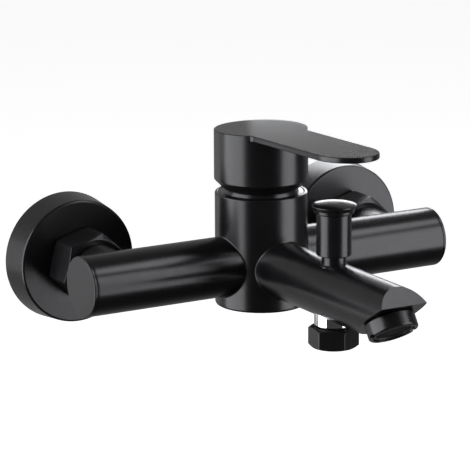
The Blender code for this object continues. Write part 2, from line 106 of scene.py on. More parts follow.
# Sizes that the boxes don't give
BODY_R = 22.0
BODY_TOP = 34.2
BODY_BOTTOM = -20.2
DOME_SEAT_R = 20.6
CHAMBER_R = 17.8
CHAMBER_FLOOR = 0.2
WELD_R = 0.9  # the fillet where arms and spout meet the body
LEG_WELD_R = 0.7  # and where a leg meets its arm
PLUG_T = 1.5
PLUG_GAP = 0.12  # the joint line between an arm and its cap
LEG_R = 12.0
LEG_REACH = 24.5  # from the arms' axis to the leg's end
LEG_BORE_R = 8.2
LEG_BORE_END = 12
UNION_OFFSET = 10  # how far the wall thread sits below the arms' axis
HEX_HIGH = -16.6
SPOUT_R = 13.4
SPOUT_Z = 0.0
SPOUT_TIP_Z = 6.0
UPPER_TILT = math.radians(48)  # slopes from level of the tip's upper facet and of its lower one
FACET_TILT = math.radians(34)
FACET_NORMAL = Vector((0, -math.sin(FACET_TILT), -math.cos(FACET_TILT)))
FACET_DOWN = Vector((0, math.cos(FACET_TILT), -math.sin(FACET_TILT)))
AERATOR_DOWN = 14.9  # from the tip's edge to the aerator's centre, along the lower facet
HANDLE_R = 22.3
HANDLE_TOP = 64.6
HANDLE_RISE = math.sin(math.radians(1.7))  # of the top towards the lever's tip
HANDLE_LIP = 36.4
RELIEF_START = 5.5  # how far behind the body's axis the cut in the skirt begins
RELIEF_TILT = math.radians(17)
LEVER_T = 2.7
LEVER_HALF = 14.75
LEVER_LENGTH = 91.9
LEVER_TIP = 18.2
PIVOT_Z = 27.2
SCREW_Z = 52.0

BODY_AXIS = Vector((0, BODY_Y, 0))
DIVERTER_AT = Vector((0, DIVERTER_Y, 0))
AERATOR_AT = Vector((0, SPOUT_TIP_Y, SPOUT_TIP_Z)) + FACET_DOWN * AERATOR_DOWN
SIDES = (("left", -1), ("right", 1))


# ---------------------------------------------------------------- mesh helpers

class Skin:
    """Points and faces of one piece, in millimetres."""

    def __init__(self):
        self.points = []
        self.faces = []

    def add(self, row):
        start = len(self.points)
        self.points += [Vector(p) for p in row]
        return list(range(start, start + len(row)))

    def strip(self, rows, closed=True):
        """Quads between one row of points and the next."""
        marks = [self.add(row) for row in rows]
        for one, two in zip(marks, marks[1:]):
            last = len(one) if closed else len(one) - 1
            for i in range(last):
                j = (i + 1) % len(one)
                self.faces.append((one[i], one[j], two[j], two[i]))

    def lid(self, row):
        self.faces.append(tuple(self.add(row)))

    def triangles(self, points, faces):
        start = len(self.points)
        self.points += [Vector(p) for p in points]
        self.faces += [tuple(start + i for i in face) for face in faces]

    def build(self, name, body, slot, nodes, soften=0.0, soften_angle=40.0, segments=3, smooth=38.0):
        """The finished piece: welded, edges rounded, shaded, and standing for its CAD nodes."""
        mesh = bpy.data.meshes.new(name)
        mesh.from_pydata([p * MM for p in self.points], [], self.faces)
        shape = bmesh.new()
        shape.from_mesh(mesh)
        bmesh.ops.remove_doubles(shape, verts=shape.verts, dist=WELD)
        bmesh.ops.dissolve_degenerate(shape, edges=shape.edges, dist=WELD)
        bmesh.ops.recalc_face_normals(shape, faces=shape.faces)
        if soften:
            limit = math.radians(soften_angle)
            edges = [e for e in shape.edges if e.is_manifold and e.calc_face_angle() > limit]
            bmesh.ops.bevel(shape, geom=edges, offset=soften * MM, segments=segments, profile=0.5,
                            affect="EDGES", clamp_overlap=True)
        shape.to_mesh(mesh)
        shape.free()
        mesh.shade_smooth()
        mesh.set_sharp_from_angle(angle=math.radians(smooth))
        piece = bpy.data.objects.new(name, mesh)
        bpy.context.scene.collection.objects.link(piece)
        weighted = piece.modifiers.new("flat_faces_stay_flat", "WEIGHTED_NORMAL")
        weighted.keep_sharp = True
        weighted.weight = 60
        mesh.materials.append(finish(slot))
        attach(piece, body)
        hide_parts(*nodes)
        return piece


def axes(axis):
    """Two directions square to the axis; with it they are right-handed."""
    z = Vector(axis).normalized()
    x = X if abs(z.x) < 0.9 else Y
    y = z.cross(x).normalized()
    return y.cross(z).normalized(), y, z


def around(at, directions, radius, angle, height):
    """The point at a radius, an angle and a height, along three right-handed directions."""
    x, y, z = directions
    return at + x * radius * math.cos(angle) + y * radius * math.sin(angle) + z * height


def circle(radius, height, at, axis, angles):
    directions = axes(axis)
    return [around(at, directions, radius, a, height) for a in angles]


def turns(count, start=0.0):
    return [start + math.tau * i / count for i in range(count)]


def spun(flat, angle):
    """A flat vector turned by an angle."""
    c = math.cos(angle)
    s = math.sin(angle)
    return Vector((flat.x * c - flat.y * s, flat.x * s + flat.y * c))


def rounded(corners, segments=4):
    """A profile of (radius, height, rounding) corners, as points with an arc at each corner."""
    out = []
    for i, (r, h, rounding) in enumerate(corners):
        corner = Vector((r, h))
        before = Vector(corners[i - 1][:2]) - corner
        after = Vector(corners[(i + 1) % len(corners)][:2]) - corner
        if rounding <= 0 or before.length < 1e-6 or after.length < 1e-6:
            out.append((r, h))
            continue
        angle = before.angle(after)
        reach = min(rounding / math.tan(angle / 2), before.length * 0.49, after.length * 0.49)
        radius = reach * math.tan(angle / 2)
        halfway = (before.normalized() + after.normalized()).normalized()
        centre = corner + halfway * (radius / math.sin(angle / 2))
        one = corner + before.normalized() * reach - centre
        two = corner + after.normalized() * reach - centre
        sweep = one.angle_signed(two)
        for k in range(segments + 1):
            spoke = spun(one, -sweep * k / segments)
            out.append((centre.x + spoke.x, centre.y + spoke.y))
    return out


def lathe(skin, corners, at, axis=Z, steps=96, segments=4):
    """A turned shape. Corners on the axis close it; otherwise the profile closes on itself."""
    profile = rounded(corners, segments)
    angles = turns(steps)
    rows = [circle(max(r, 0.0), h, at, axis, angles) for r, h in profile]
    if corners[0][0] > 0 or corners[-1][0] > 0:
        rows.append(rows[0])
    skin.strip(rows)


def inside(point, loop):
    """Whether a flat point lies in a closed loop."""
    x, y = point
    hit = False
    for (x1, y1), (x2, y2) in zip(loop, loop[1:] + loop[:1]):
        crosses = (y1 > y) != (y2 > y)
        if crosses and x < (x2 - x1) * (y - y1) / (y2 - y1) + x1:
            hit = not hit
    return hit


def wall(skin, radius, at, directions, angles, bottom, top, holes, rows):
    """The wall of a tube between two edges, with holes: meshed flat, then rolled up.

    directions are right-handed, the last along the tube. angles run once round, from seam
    to seam; bottom and top give the edge's place at each of them."""
    flat = []
    edges = []

    def path(points):
        """A closed line that the mesh follows."""
        marks = list(range(len(flat), len(flat) + len(points)))
        flat.extend(points)
        edges.extend(zip(marks, marks[1:] + marks[:1]))

    def between(first, last):
        """The places of the rows between two edges."""
        return [first + (last - first) * k / rows for k in range(1, rows)]

    loops = [[(a * radius, s) for a, s in hole] for hole in holes]
    for loop in loops:
        path(loop)
    outer = [(a * radius, s) for a, s in zip(angles, bottom)]
    outer += [(angles[-1] * radius, s) for s in between(bottom[-1], top[-1])]
    outer += [(a * radius, s) for a, s in reversed(list(zip(angles, top)))]
    outer += [(angles[0] * radius, s) for s in between(top[0], bottom[0])]
    path(outer)
    spacing = (angles[1] - angles[0]) * radius
    margin = 0.55 * spacing
    for a, first, last in list(zip(angles, bottom, top))[1:-1]:
        for s in between(first, last):
            point = (a * radius, s)
            near = any(math.dist(point, other) < margin for loop in loops for other in loop)
            if not near and not any(inside(point, loop) for loop in loops):
                flat.append(point)
    made, _, faces, _, _, _ = delaunay_2d_cdt([Vector(p) for p in flat], edges, [], 0, 1e-5)
    kept = []
    for face in faces:
        centre = sum((made[i] for i in face), Vector((0, 0))) / len(face)
        if inside(centre, outer) and not any(inside(centre, loop) for loop in loops):
            kept.append(tuple(face))
    skin.triangles([around(at, directions, radius, p.x / radius, p.y) for p in made], kept)


def fillet(skin, at, main_axis, branch_axis, main_r, branch_r, radius, angles, segments=5):
    """The rounded joint where one tube runs square into another.

    Returns where the branch's wall starts at each angle, and the edge of the main tube's hole."""
    across = branch_axis.cross(main_axis)
    start = []
    rows = [[] for _ in range(segments + 1)]
    for a in angles:
        side = (branch_r + radius) * math.sin(a)
        reach = math.sqrt((main_r + radius) ** 2 - side ** 2)
        centre = at + branch_axis * reach + across * side + main_axis * (branch_r + radius) * math.cos(a)
        to_branch = -(across * math.sin(a) + main_axis * math.cos(a))
        to_main = -(branch_axis * reach + across * side) / (main_r + radius)
        turn = to_branch.angle(to_main)
        start.append(reach)
        for k, row in enumerate(rows):
            share = k / segments
            spoke = to_branch * math.sin((1 - share) * turn) + to_main * math.sin(share * turn)
            row.append(centre + spoke / math.sin(turn) * radius)
    skin.strip(rows)
    return start, rows[-1]


def unrolled(loop, at, directions, seam):
    """The loop's points as (angle, place along the tube), with the angle counted from the seam."""
    x, y, z = directions
    out = []
    for p in loop:
        d = p - at
        a = math.atan2(d.dot(y), d.dot(x))
        out.append((seam + (a - seam) % math.tau, d.dot(z)))
    return out


def closed(angles):
    """The same angles with the first repeated a turn later."""
    return [*angles, angles[0] + math.tau]


def looped(values):
    return [*values, values[0]]


# ---------------------------------------------------------------- materials

CLOUDS = 90.0  # waves per metre of the slow drift in colour
GLOSS_CLOUDS = CLOUDS * 3.1
GRAIN_DEPTH = 0.00005  # metres


def node(tree, kind, **settings):
    made = tree.nodes.new(kind)
    for name, value in settings.items():
        setattr(made, name, value)
    return made


def noise(tree, scale, detail=4.0):
    """Cloudy noise in object space, with its scale in waves per metre."""
    place = node(tree, "ShaderNodeTexCoord")
    made = node(tree, "ShaderNodeTexNoise")
    made.inputs["Scale"].default_value = scale
    made.inputs["Detail"].default_value = detail
    made.inputs["Roughness"].default_value = 0.55
    tree.links.new(place.outputs["Object"], made.inputs["Vector"])
    return made.outputs["Fac"]


def spread(tree, value, low_value, high_value, from_low=0.35, from_high=0.65):
    """The value with one range stretched to another."""
    made = node(tree, "ShaderNodeMapRange")
    made.inputs["From Min"].default_value = from_low
    made.inputs["From Max"].default_value = from_high
    made.inputs["To Min"].default_value = low_value
    made.inputs["To Max"].default_value = high_value
    tree.links.new(value, made.inputs["Value"])
    return made.outputs["Result"]


def blend_colors(tree, factor, one, two):
    """A mix of two colours, each a tuple or another node's output."""
    made = node(tree, "ShaderNodeMix", data_type="RGBA")
    tree.links.new(factor, made.inputs["Factor"])
    colors = [socket for socket in made.inputs if socket.type == "RGBA"]
    for socket, value in zip(colors, (one, two)):
        if isinstance(value, tuple):
            socket.default_value = (*value, 1)
        else:
            tree.links.new(value, socket)
    return [socket for socket in made.outputs if socket.type == "RGBA"][0]


def surface(name, color, patch, metallic, rough, rough_patch, grain, grain_scale, edge=None):
    """A finish whose colour and gloss drift a little, with a fine grain and, if asked, lighter sharp edges
    that are partly wear and partly a painted edge highlight.
    """
    made = bpy.data.materials.new(name)
    made.use_nodes = True
    tree = made.node_tree
    shader = tree.nodes["Principled BSDF"]
    shader.inputs["Metallic"].default_value = metallic
    drift = noise(tree, CLOUDS)
    tint = blend_colors(tree, spread(tree, drift, 0.0, 1.0), color, patch)
    gloss = spread(tree, noise(tree, GLOSS_CLOUDS), rough, rough_patch)
    if edge is not None:
        # Lighter colour on sharp convex edges, found from pointiness: partly wear, partly a painted edge
        # highlight along the rims.
        geometry = node(tree, "ShaderNodeNewGeometry")
        wear_and_edge_sheen = spread(tree, geometry.outputs["Pointiness"], 0.0, 1.0, 0.52, 0.62)
        tint = blend_colors(tree, wear_and_edge_sheen, tint, edge)
    tree.links.new(tint, shader.inputs["Base Color"])
    tree.links.new(gloss, shader.inputs["Roughness"])
    bump = node(tree, "ShaderNodeBump")
    bump.inputs["Strength"].default_value = grain
    bump.inputs["Distance"].default_value = GRAIN_DEPTH
    tree.links.new(noise(tree, grain_scale, 3.0), bump.inputs["Height"])
    tree.links.new(bump.outputs["Normal"], shader.inputs["Normal"])
    return made


FINISHES = {}
RECIPES = {
    # satin_black's edge colour lightens the rims: partly wear, partly a painted edge highlight.
    "satin_black": dict(color=(0.0055, 0.0055, 0.0062), patch=(0.0085, 0.0085, 0.0092), metallic=0.0,
                        rough=0.24, rough_patch=0.27, grain=0.02, grain_scale=2600.0,
                        edge=(0.030, 0.030, 0.032)),
    "chrome": dict(color=(0.86, 0.87, 0.88), patch=(0.80, 0.81, 0.82), metallic=1.0, rough=0.05,
                   rough_patch=0.10, grain=0.02, grain_scale=900.0),
    "brass": dict(color=(0.78, 0.56, 0.24), patch=(0.62, 0.43, 0.18), metallic=1.0, rough=0.24,
                  rough_patch=0.36, grain=0.18, grain_scale=2200.0, edge=(0.90, 0.72, 0.40)),
    "steel": dict(color=(0.56, 0.57, 0.58), patch=(0.46, 0.47, 0.48), metallic=1.0, rough=0.22,
                  rough_patch=0.34, grain=0.15, grain_scale=2400.0),
    "rubber": dict(color=(0.016, 0.016, 0.016), patch=(0.026, 0.026, 0.026), metallic=0.0, rough=0.72,
                   rough_patch=0.86, grain=0.35, grain_scale=3000.0),
    "ceramic": dict(color=(0.82, 0.80, 0.75), patch=(0.88, 0.86, 0.82), metallic=0.0, rough=0.14,
                    rough_patch=0.22, grain=0.04, grain_scale=3500.0),
    "plastic": dict(color=(0.70, 0.71, 0.69), patch=(0.76, 0.77, 0.75), metallic=0.0, rough=0.42,
                    rough_patch=0.52, grain=0.15, grain_scale=3200.0),
    "dark_plastic": dict(color=(0.030, 0.031, 0.033), patch=(0.048, 0.049, 0.051), metallic=0.0,
                         rough=0.34, rough_patch=0.46, grain=0.12, grain_scale=3200.0),
}


def finish(slot):
    if slot not in FINISHES:
        FINISHES[slot] = surface(slot + "_finish", **RECIPES[slot])
    return FINISHES[slot]


# ---------------------------------------------------------------- pieces

def arm(skin, sign):
    """One cross arm with its leg. Returns the edge of the hole that it needs in the body's wall."""
    branch = X * sign
    seam = sign * math.pi / 2
    angles = turns(96, seam)
    start, body_hole = fillet(skin, BODY_AXIS, Z, branch, BODY_R, ARM_R, WELD_R, angles)

    along_arm = (Z, branch.cross(Z), branch)
    leg_at = BODY_AXIS + branch * INLET_X
    leg_angles = turns(72)
    leg_start, leg_hole = fillet(skin, leg_at, branch, Y, ARM_R, LEG_R, LEG_WELD_R, leg_angles)
    end = ARM_END - PLUG_T - PLUG_GAP
    edge = 0.25
    wall(skin, ARM_R, BODY_AXIS, along_arm, closed(angles), looped(start), [end - edge] * (len(angles) + 1),
         [unrolled(leg_hole, BODY_AXIS, along_arm, seam)], 70)
    # The end's rounded edge and the start of the bore that takes the cap
    bore_r = ARM_R - 1.6
    steps = [(ARM_R, end - edge), (ARM_R - 0.08, end - 0.07), (ARM_R - edge, end), (bore_r, end),
             (bore_r, end - 1.0)]
    rows = [[around(BODY_AXIS, along_arm, r, a, s) for a in angles] for r, s in steps]
    skin.strip(rows)
    skin.lid(rows[-1])

    along_leg = (branch, Y.cross(branch), Y)
    rows = [[around(leg_at, along_leg, LEG_R, a, s) for a, s in zip(leg_angles, leg_start)]]
    edge = 0.4
    steps = [(LEG_R, LEG_REACH - edge), (LEG_R - 0.12, LEG_REACH - 0.12), (LEG_R - edge, LEG_REACH),
             (LEG_BORE_R, LEG_REACH), (LEG_BORE_R, LEG_BORE_END)]
    rows += [[around(leg_at, along_leg, r, a, s) for a in leg_angles] for r, s in steps]
    skin.strip(rows)
    skin.lid(rows[-1])
    return body_hole


def spout(skin):
    """The spout with its arrow-shaped tip. Returns the edge of the hole that it needs in the body's wall."""
    at = BODY_AXIS + Z * SPOUT_Z
    along_spout = (Z, -X, -Y)
    reach = BODY_Y - SPOUT_TIP_Y
    upper_count = 30
    lower_count = 66
    row_count = 40
    corner = math.acos((SPOUT_TIP_Z - SPOUT_Z) / SPOUT_R)
    upper = [corner * (-1 + 2 * i / upper_count) for i in range(upper_count + 1)]
    lower = [corner + (math.tau - 2 * corner) * i / lower_count for i in range(1, lower_count)]
    angles = upper + lower
    start, body_hole = fillet(skin, at, Z, -Y, BODY_R, SPOUT_R, WELD_R, angles)

    def end(angle):
        """Where the wall ends: at one of two sloped facets that meet in the tip's level edge."""
        rise = SPOUT_Z + SPOUT_R * math.cos(angle) - SPOUT_TIP_Z
        return reach - abs(rise) / math.tan(UPPER_TILT if rise > 0 else FACET_TILT)

    rows = []
    for k in range(row_count + 1):
        rows.append([around(at, along_spout, SPOUT_R, a, s + (end(a) - s) * k / row_count)
                     for a, s in zip(angles, start)])
    skin.strip(rows)
    rim = rows[-1]
    skin.lid(rim[:upper_count + 1])
    skin.lid(rim[upper_count:] + rim[:1])
    return body_hole


def casting():
    """Body, arms, legs and spout as one skin with small fillets where they meet."""
    skin = Skin()
    body_holes = [arm(skin, -1), arm(skin, 1), spout(skin)]

    upright = (Y, -X, Z)
    count = 144
    upper_edge = 0.7
    lower_edge = 1.2
    dome_seat = 30.8
    nut_seat = 21.7
    nut_r = 20.0
    wall(skin, BODY_R, BODY_AXIS, upright, closed(turns(count)), [BODY_BOTTOM + lower_edge] * (count + 1),
         [BODY_TOP - upper_edge] * (count + 1),
         [unrolled(hole, BODY_AXIS, upright, 0.0) for hole in body_holes], 44)
    # Each profile's first corner only gives its edge a direction, and is left out. From the top
    # in: the seat of the dome, that of the clamping nut, and the chamber of the cartridge
    angles = turns(count, math.pi / 2)
    top = rounded([(BODY_R, BODY_TOP - 6, 0), (BODY_R, BODY_TOP, upper_edge), (DOME_SEAT_R, BODY_TOP, 0.25),
                   (DOME_SEAT_R, dome_seat, 0), (nut_r, dome_seat, 0), (nut_r, nut_seat, 0),
                   (CHAMBER_R, nut_seat, 0), (CHAMBER_R, CHAMBER_FLOOR, 0)])[1:]
    skin.strip([circle(r, h, BODY_AXIS, Z, angles) for r, h in top])
    skin.lid(circle(CHAMBER_R, CHAMBER_FLOOR, BODY_AXIS, Z, angles))
    bottom = rounded([(BODY_R, BODY_BOTTOM + 6, 0), (BODY_R, BODY_BOTTOM, lower_edge),
                      (0, BODY_BOTTOM, 0)])[1:]
    skin.strip([circle(r, h, BODY_AXIS, Z, angles) for r, h in bottom])
    skin.build("casting", "mixer", "satin_black", ["body_casting"],
               soften=0.45, soften_angle=50, segments=4)


def end_plugs():
    """The caps that close the arms, each with a spigot inside the arm."""
    joint = ARM_END - PLUG_T
    spigot_r = ARM_R - 1.8
    spigot_end = ARM_END - 8
    for side, sign in SIDES:
        skin = Skin()
        lathe(skin, [(0, ARM_END, 0), (ARM_R, ARM_END, 0.5), (ARM_R, joint, 0.2), (spigot_r, joint, 0),
                     (spigot_r, spigot_end, 0), (0, spigot_end, 0)], BODY_AXIS, X * sign)
        skin.build(f"end_cap_{side}", "mixer", "satin_black", [f"arm_plug_{side}"])


def hexagon(across_flats, rounding, twist):
    """A hexagon with rounded corners and points along its flats."""
    reach = (across_flats / 2 - rounding) / math.cos(math.pi / 6)
    flat_steps = 8

    def pointing(angle):
        return Vector((math.cos(angle), math.sin(angle)))

    out = []
    for k in range(6):
        corner = math.radians(60 * k) + twist
        following = math.radians(60 * (k + 1)) + twist
        for turn in (-30, -15, 0, 15, 30):
            out.append(pointing(corner) * reach + pointing(corner + math.radians(turn)) * rounding)
        start = out[-1]
        end = pointing(following) * reach + pointing(following - math.radians(30)) * rounding
        out += [start.lerp(end, i / flat_steps) for i in range(1, flat_steps)]
    return out


def hex_skin(skin, across_flats, bottom, top, bores, at, axis, twist=0.0, rounding=0.7):
    """A nut: flats, chamfered corners and a bore, whose (radius, height) steps run from the top down."""
    x, y, z = axes(axis)
    outline = hexagon(across_flats, rounding, twist)
    flush = across_flats / 2 * 0.965
    drop = math.tan(math.radians(28))

    def ring(radius, height):
        return [at + (x * p.x + y * p.y) / p.length * radius + z * height for p in outline]

    def side(level, sign):
        return [at + x * p.x + y * p.y + z * (level + sign * (p.length - flush) * drop) for p in outline]

    skin.strip([ring(bores[-1][0], bottom), ring(flush, bottom), side(bottom, 1), side(top, -1),
                ring(flush, top), *(ring(r, h) for r, h in bores)])


def union_nut(side, at):
    """The nut on the leg, wider inside than at its mouth."""
    front = -34.2
    back = -16.0
    thread_r = 12.9
    mouth_r = 10.4
    mouth_end = front + 2.8
    skin = Skin()
    bores = [(thread_r, back), (thread_r, mouth_end), (mouth_r, mouth_end), (mouth_r, front)]
    hex_skin(skin, 30, front, back, bores, at, Y, twist=math.radians(44))
    skin.build(f"union_hex_nut_{side}", "mixer", "satin_black", [f"union_nut_{side}"],
               soften=0.16, soften_angle=20, segments=2)


def cover_plate(side, at):
    """The pressed cup against the wall, open at the back."""
    hole_r = 13.1
    front = -COVER_DEPTH
    inner = front + 1.3
    skin = Skin()
    lathe(skin, [(COVER_R, 0, 0.1), (29.5, front, 1.1), (hole_r, front, 0.4), (hole_r, inner, 0.3),
                 (27.3, inner, 0.8), (29.8, 0, 0.1)], at, Y, steps=144)
    skin.build(f"wall_cover_{side}", "mixer", "satin_black", [f"escutcheon_{side}"])


def eccentric_union(side, at):
    """The brass union, with the wall thread cut as real turns."""
    skin = Skin()
    nut_end_r = 12.6
    nut_end_bore = 8.5
    front = -26.1
    back = -8.6
    lathe(skin, [(nut_end_r, front, 0.4), (nut_end_r, back, 0.8), (nut_end_bore, back, 0.2),
                 (nut_end_bore, front, 0.4)], at, Y)
    lower = at - Z * UNION_OFFSET
    wall_end_r = 12.0
    bore_r = 7.5
    front = -13.4
    back = -1.2
    lathe(skin, [(wall_end_r, front, 0.4), (wall_end_r, back, 0.8), (bore_r, back, 0.2),
                 (bore_r, front, 0.4)], lower, Y)

    thread_r = 10.4
    thread_start = -1.4
    thread_end = 15
    pitch = 1.814
    depth = 0.55
    angles = turns(72)
    steps = 110
    rows = []
    for k in range(steps + 1):
        height = thread_start + (thread_end - thread_start) * k / steps
        fade = min(1.0, (thread_end - height) / 1.2)
        row = []
        for i, a in enumerate(angles):
            wave = 0.5 + 0.5 * math.cos(math.tau * (height / pitch - i / len(angles)))
            radius = thread_r - depth * (1 - wave) - 0.9 * (1 - fade)
            row.append(circle(radius, height, lower, Y, [a])[0])
        rows.append(row)
    for radius, height in ((bore_r + 0.2, thread_end), (bore_r, thread_end - 0.3), (bore_r, thread_start)):
        rows.append(circle(radius, height, lower, Y, angles))
    skin.strip([*rows, rows[0]])
    skin.build(f"eccentric_union_{side}", "mixer", "brass", [f"s_union_{side}"], smooth=55)


def inlets():
    for side, sign in SIDES:
        at = Vector((sign * INLET_X, 0, 0))
        union_nut(side, at)
        cover_plate(side, at)
        eccentric_union(side, at)


def relief(height, y):
    """The height, or that of the plane that cuts the skirt away behind so that the lever can lift."""
    return max(height, HANDLE_LIP + (y - RELIEF_START) * math.tan(RELIEF_TILT))


def handle_top(y):
    return HANDLE_TOP - HANDLE_RISE * y


def cap_point(angle, radius=HANDLE_R):
    """A flat point on the cap's circle, with its angle counted from the back."""
    return Vector((-math.sin(angle) * radius, math.cos(angle) * radius))


def lifted(flat, height):
    return BODY_AXIS + Vector((*flat, height))


def lever_outline(blend, shoulder):
    """The lever's outline from above, from the cap's left side round the tip to its right side."""
    across = LEVER_HALF + blend
    back = math.sqrt((HANDLE_R + blend) ** 2 - across ** 2)
    turn = math.pi / 2 - shoulder
    blend_steps = 8
    side_steps = 24
    tip_steps = 48
    left = []
    for i in range(1, blend_steps + 1):
        angle = shoulder + turn * i / blend_steps
        left.append(Vector((-across + blend * math.sin(angle), -back + blend * math.cos(angle))))
    straight = LEVER_LENGTH - LEVER_TIP
    for i in range(1, side_steps):
        left.append(Vector((-LEVER_HALF, -back + (-straight + back) * i / side_steps)))
    tip = []
    for i in range(tip_steps + 1):
        a = math.pi * i / tip_steps
        tip.append(Vector((-LEVER_HALF * math.cos(a), -straight - LEVER_TIP * math.sin(a))))
    right = [Vector((-p.x, p.y)) for p in reversed(left)]
    return left + tip + right


def handle():
    """The cap and its flat lever in one skin."""
    skin = Skin()
    blend = 3.0  # radius of the inner corners between cap and lever
    edge = 0.55  # rounding of the top's edge
    under = 0.5  # rounding of the lever's lower edge, which starts over the length of fade
    fade = 3
    back_steps = 108
    front_steps = 36
    edge_steps = 4
    under_steps = 3
    across = LEVER_HALF + blend
    shoulder = math.atan2(across, math.sqrt((HANDLE_R + blend) ** 2 - across ** 2))
    sweep = math.tau - 2 * shoulder
    back_arc = [math.pi + shoulder + sweep * i / back_steps for i in range(back_steps + 1)]
    outline = [cap_point(a) for a in back_arc]
    taper = [0.0] * len(outline)
    lever = lever_outline(blend, shoulder)
    travelled = 0.0
    for one, two in zip([outline[-1], *lever], lever):
        travelled += (two - one).length
        taper.append(travelled)
    total = travelled + (lever[-1] - outline[0]).length
    taper = [min(1.0, t / fade, (total - t) / fade) if t else 0.0 for t in taper]
    outline += lever

    count = len(outline)
    inward = []
    for i in range(count):
        along = outline[(i + 1) % count] - outline[i - 1]
        inward.append(Vector((-along.y, along.x)).normalized())

    def ring(offset, drop, part=range(count)):
        """The outline moved inward and down, each by a function of the point's number."""
        out = []
        for i in part:
            p = outline[i] + inward[i] * offset(i)
            out.append(lifted(p, handle_top(p.y) - drop(i)))
        return out

    rows = [ring(lambda i: 0.0, lambda i: LEVER_T - under * taper[i]), ring(lambda i: 0.0, lambda i: edge)]
    for k in range(1, edge_steps + 1):
        a = math.pi / 2 * k / edge_steps
        rows.append(ring(lambda i, a=a: edge * (1 - math.cos(a)), lambda i, a=a: edge * (1 - math.sin(a))))
    skin.strip(rows)
    skin.lid(rows[-1])

    # The lever's underside, which ends on the cap's front
    part = [*range(back_steps, count), 0]
    rows = []
    for k in range(under_steps + 1):
        a = math.pi / 2 * k / under_steps
        rows.append(ring(lambda i, a=a: under * taper[i] * (1 - math.cos(a)),
                         lambda i, a=a: LEVER_T - under * taper[i] * (1 - math.sin(a)), part))
    skin.strip(rows, closed=False)
    front_arc = [math.pi - shoulder + 2 * shoulder * i / front_steps for i in range(front_steps + 1)]
    front = [lifted(p, handle_top(p.y) - LEVER_T) for p in map(cap_point, front_arc)]
    skin.lid(rows[-1] + list(reversed(front))[1:-1])
    cap_wall(skin, front_arc, back_arc)
    skin.build("lever_handle", "lever", "satin_black", ["handle"])


def cap_wall(skin, front_arc, back_arc):
    """The cap's wall, seamed at the front under the lever, with its skirt and the screw's hole behind."""
    half = len(front_arc) // 2
    angles = front_arc[half:] + back_arc[1:] + [a + math.tau for a in front_arc[1:half + 1]]
    skirt_top = 40.6
    lip_r = 17.7
    hollow_r = 19.4
    # The first corner only gives the skirt's upper edge a direction, and is left out
    skirt = rounded([(HANDLE_R, 45, 0), (HANDLE_R, skirt_top, 0.7), (lip_r + 0.6, HANDLE_LIP, 0.25),
                     (lip_r, HANDLE_LIP, 0.1), (lip_r, 37.8, 0), (hollow_r, 39.8, 0),
                     (hollow_r, HANDLE_TOP - 4.5, 0)], 3)[1:]
    bottom = [relief(skirt[0][1], cap_point(a).y) for a in angles]
    top = [handle_top(cap_point(a).y) - LEVER_T for a in angles]
    hole_r = 3.05
    hole_end = 15
    hole = []
    for a in turns(28):
        side = hole_r * math.cos(a)
        hole.append((math.tau + math.asin(-side / HANDLE_R), SCREW_Z + hole_r * math.sin(a)))
    wall(skin, HANDLE_R, BODY_AXIS, (Y, -X, Z), angles, bottom, top, [hole], 26)
    mouth = [(cap_point(a), s) for a, s in hole]
    tube = [[lifted(p, s) for p, s in mouth], [lifted((p.x, hole_end), s) for p, s in mouth]]
    skin.strip(tube)
    skin.lid(tube[-1])
    rows = []
    for radius, height in skirt:
        points = [cap_point(a, radius) for a in angles[:-1]]
        rows.append([lifted(p, relief(height, p.y)) for p in points])
    skin.strip(rows)
    skin.lid(rows[-1])


def rear_plug():
    """The small plug over the handle's grub screw."""
    radius = 2.85
    face = 22.15
    back = 19.8
    skin = Skin()
    lathe(skin, [(0, face, 0), (radius, face, 0.3), (radius, back, 0.2), (0, back, 0)],
          BODY_AXIS + Z * SCREW_Z, Y, steps=48)
    skin.build("rear_index_plug", "lever", "satin_black", ["index_plug"])


def dome():
    """The ball-shaped cover under the cap, with the flange that it stands on."""
    def arc(radius, first, last, count):
        """Points of a ball about the lever's pivot, at angles in degrees from the top."""
        angles = [math.radians(first + (last - first) * i / count) for i in range(count + 1)]
        return [(radius * math.sin(a), PIVOT_Z + radius * math.cos(a), 0) for a in angles]

    skin = Skin()
    radius = 19.3
    thickness = 1.4
    flange_r = 20.2
    flange_bore = 19.4
    flange_low = 31.1
    step = 32.6
    lathe(skin, [*arc(radius, 36.6, 68.6, 16), (flange_r, 34.0, 0.3), (flange_r, flange_low, 0.1),
                 (flange_bore, flange_low, 0), (flange_bore, step, 0), (16.9, step, 0),
                 *arc(radius - thickness, 70.7, 40.0, 10)], BODY_AXIS)
    skin.build("cartridge_dome", "mixer", "satin_black", ["bonnet_dome"])


